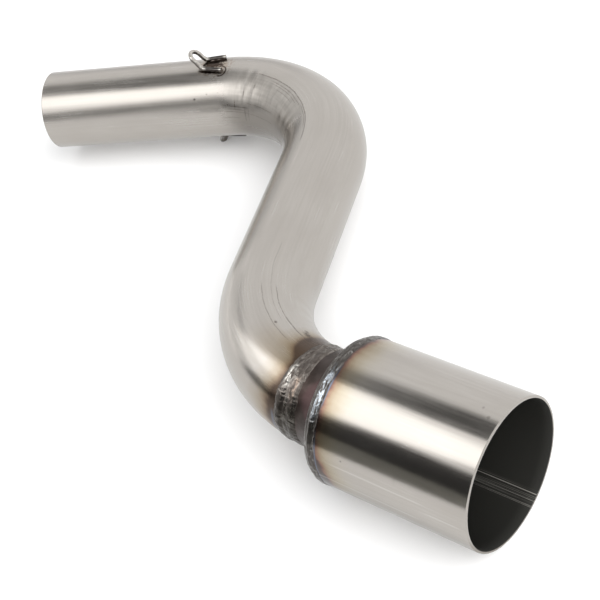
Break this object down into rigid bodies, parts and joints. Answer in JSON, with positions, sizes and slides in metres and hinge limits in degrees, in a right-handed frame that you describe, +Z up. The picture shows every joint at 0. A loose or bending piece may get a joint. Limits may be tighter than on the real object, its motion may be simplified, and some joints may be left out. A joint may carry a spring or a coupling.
{
  "type": "exhaust link pipe",
  "caption": "Bent motorbike exhaust link pipe: round steel tube with an S shape in one plane, welded through a pressed reducer into a wide socket, with wire spring hooks.",
  "frame": {"origin": "on the surface that the part lies on, under the middle of its bounding box", "axes": "+X along the socket's axis, out of its mouth; +Z up as the part lies; +Y to the side on which the tube leaves the socket's line"},
  "size_m": [0.4474, 0.2612, 0.0774],
  "materials": {
    "satin_stainless": "satin, lightly scratched",
    "socket_stainless": "satin",
    "tinted_stainless": "heat tinted brown and purple",
    "weld_metal": "dark rippled weld",
    "bright_wire": "drawn wire"
  },
  "bodies": {
    "root": {"link_tube": "satin_stainless", "socket_sleeve": "socket_stainless", "reducer_collar": "tinted_stainless", "neck_weld": "weld_metal", "shoulder_weld": "weld_metal", "upper_spring_hook": "bright_wire", "lower_spring_hook": "bright_wire", "upper_hook_weld_left": "weld_metal", "upper_hook_weld_right": "weld_metal", "lower_hook_weld_left": "weld_metal", "lower_hook_weld_right": "weld_metal"}
  },
  "joints": []
}
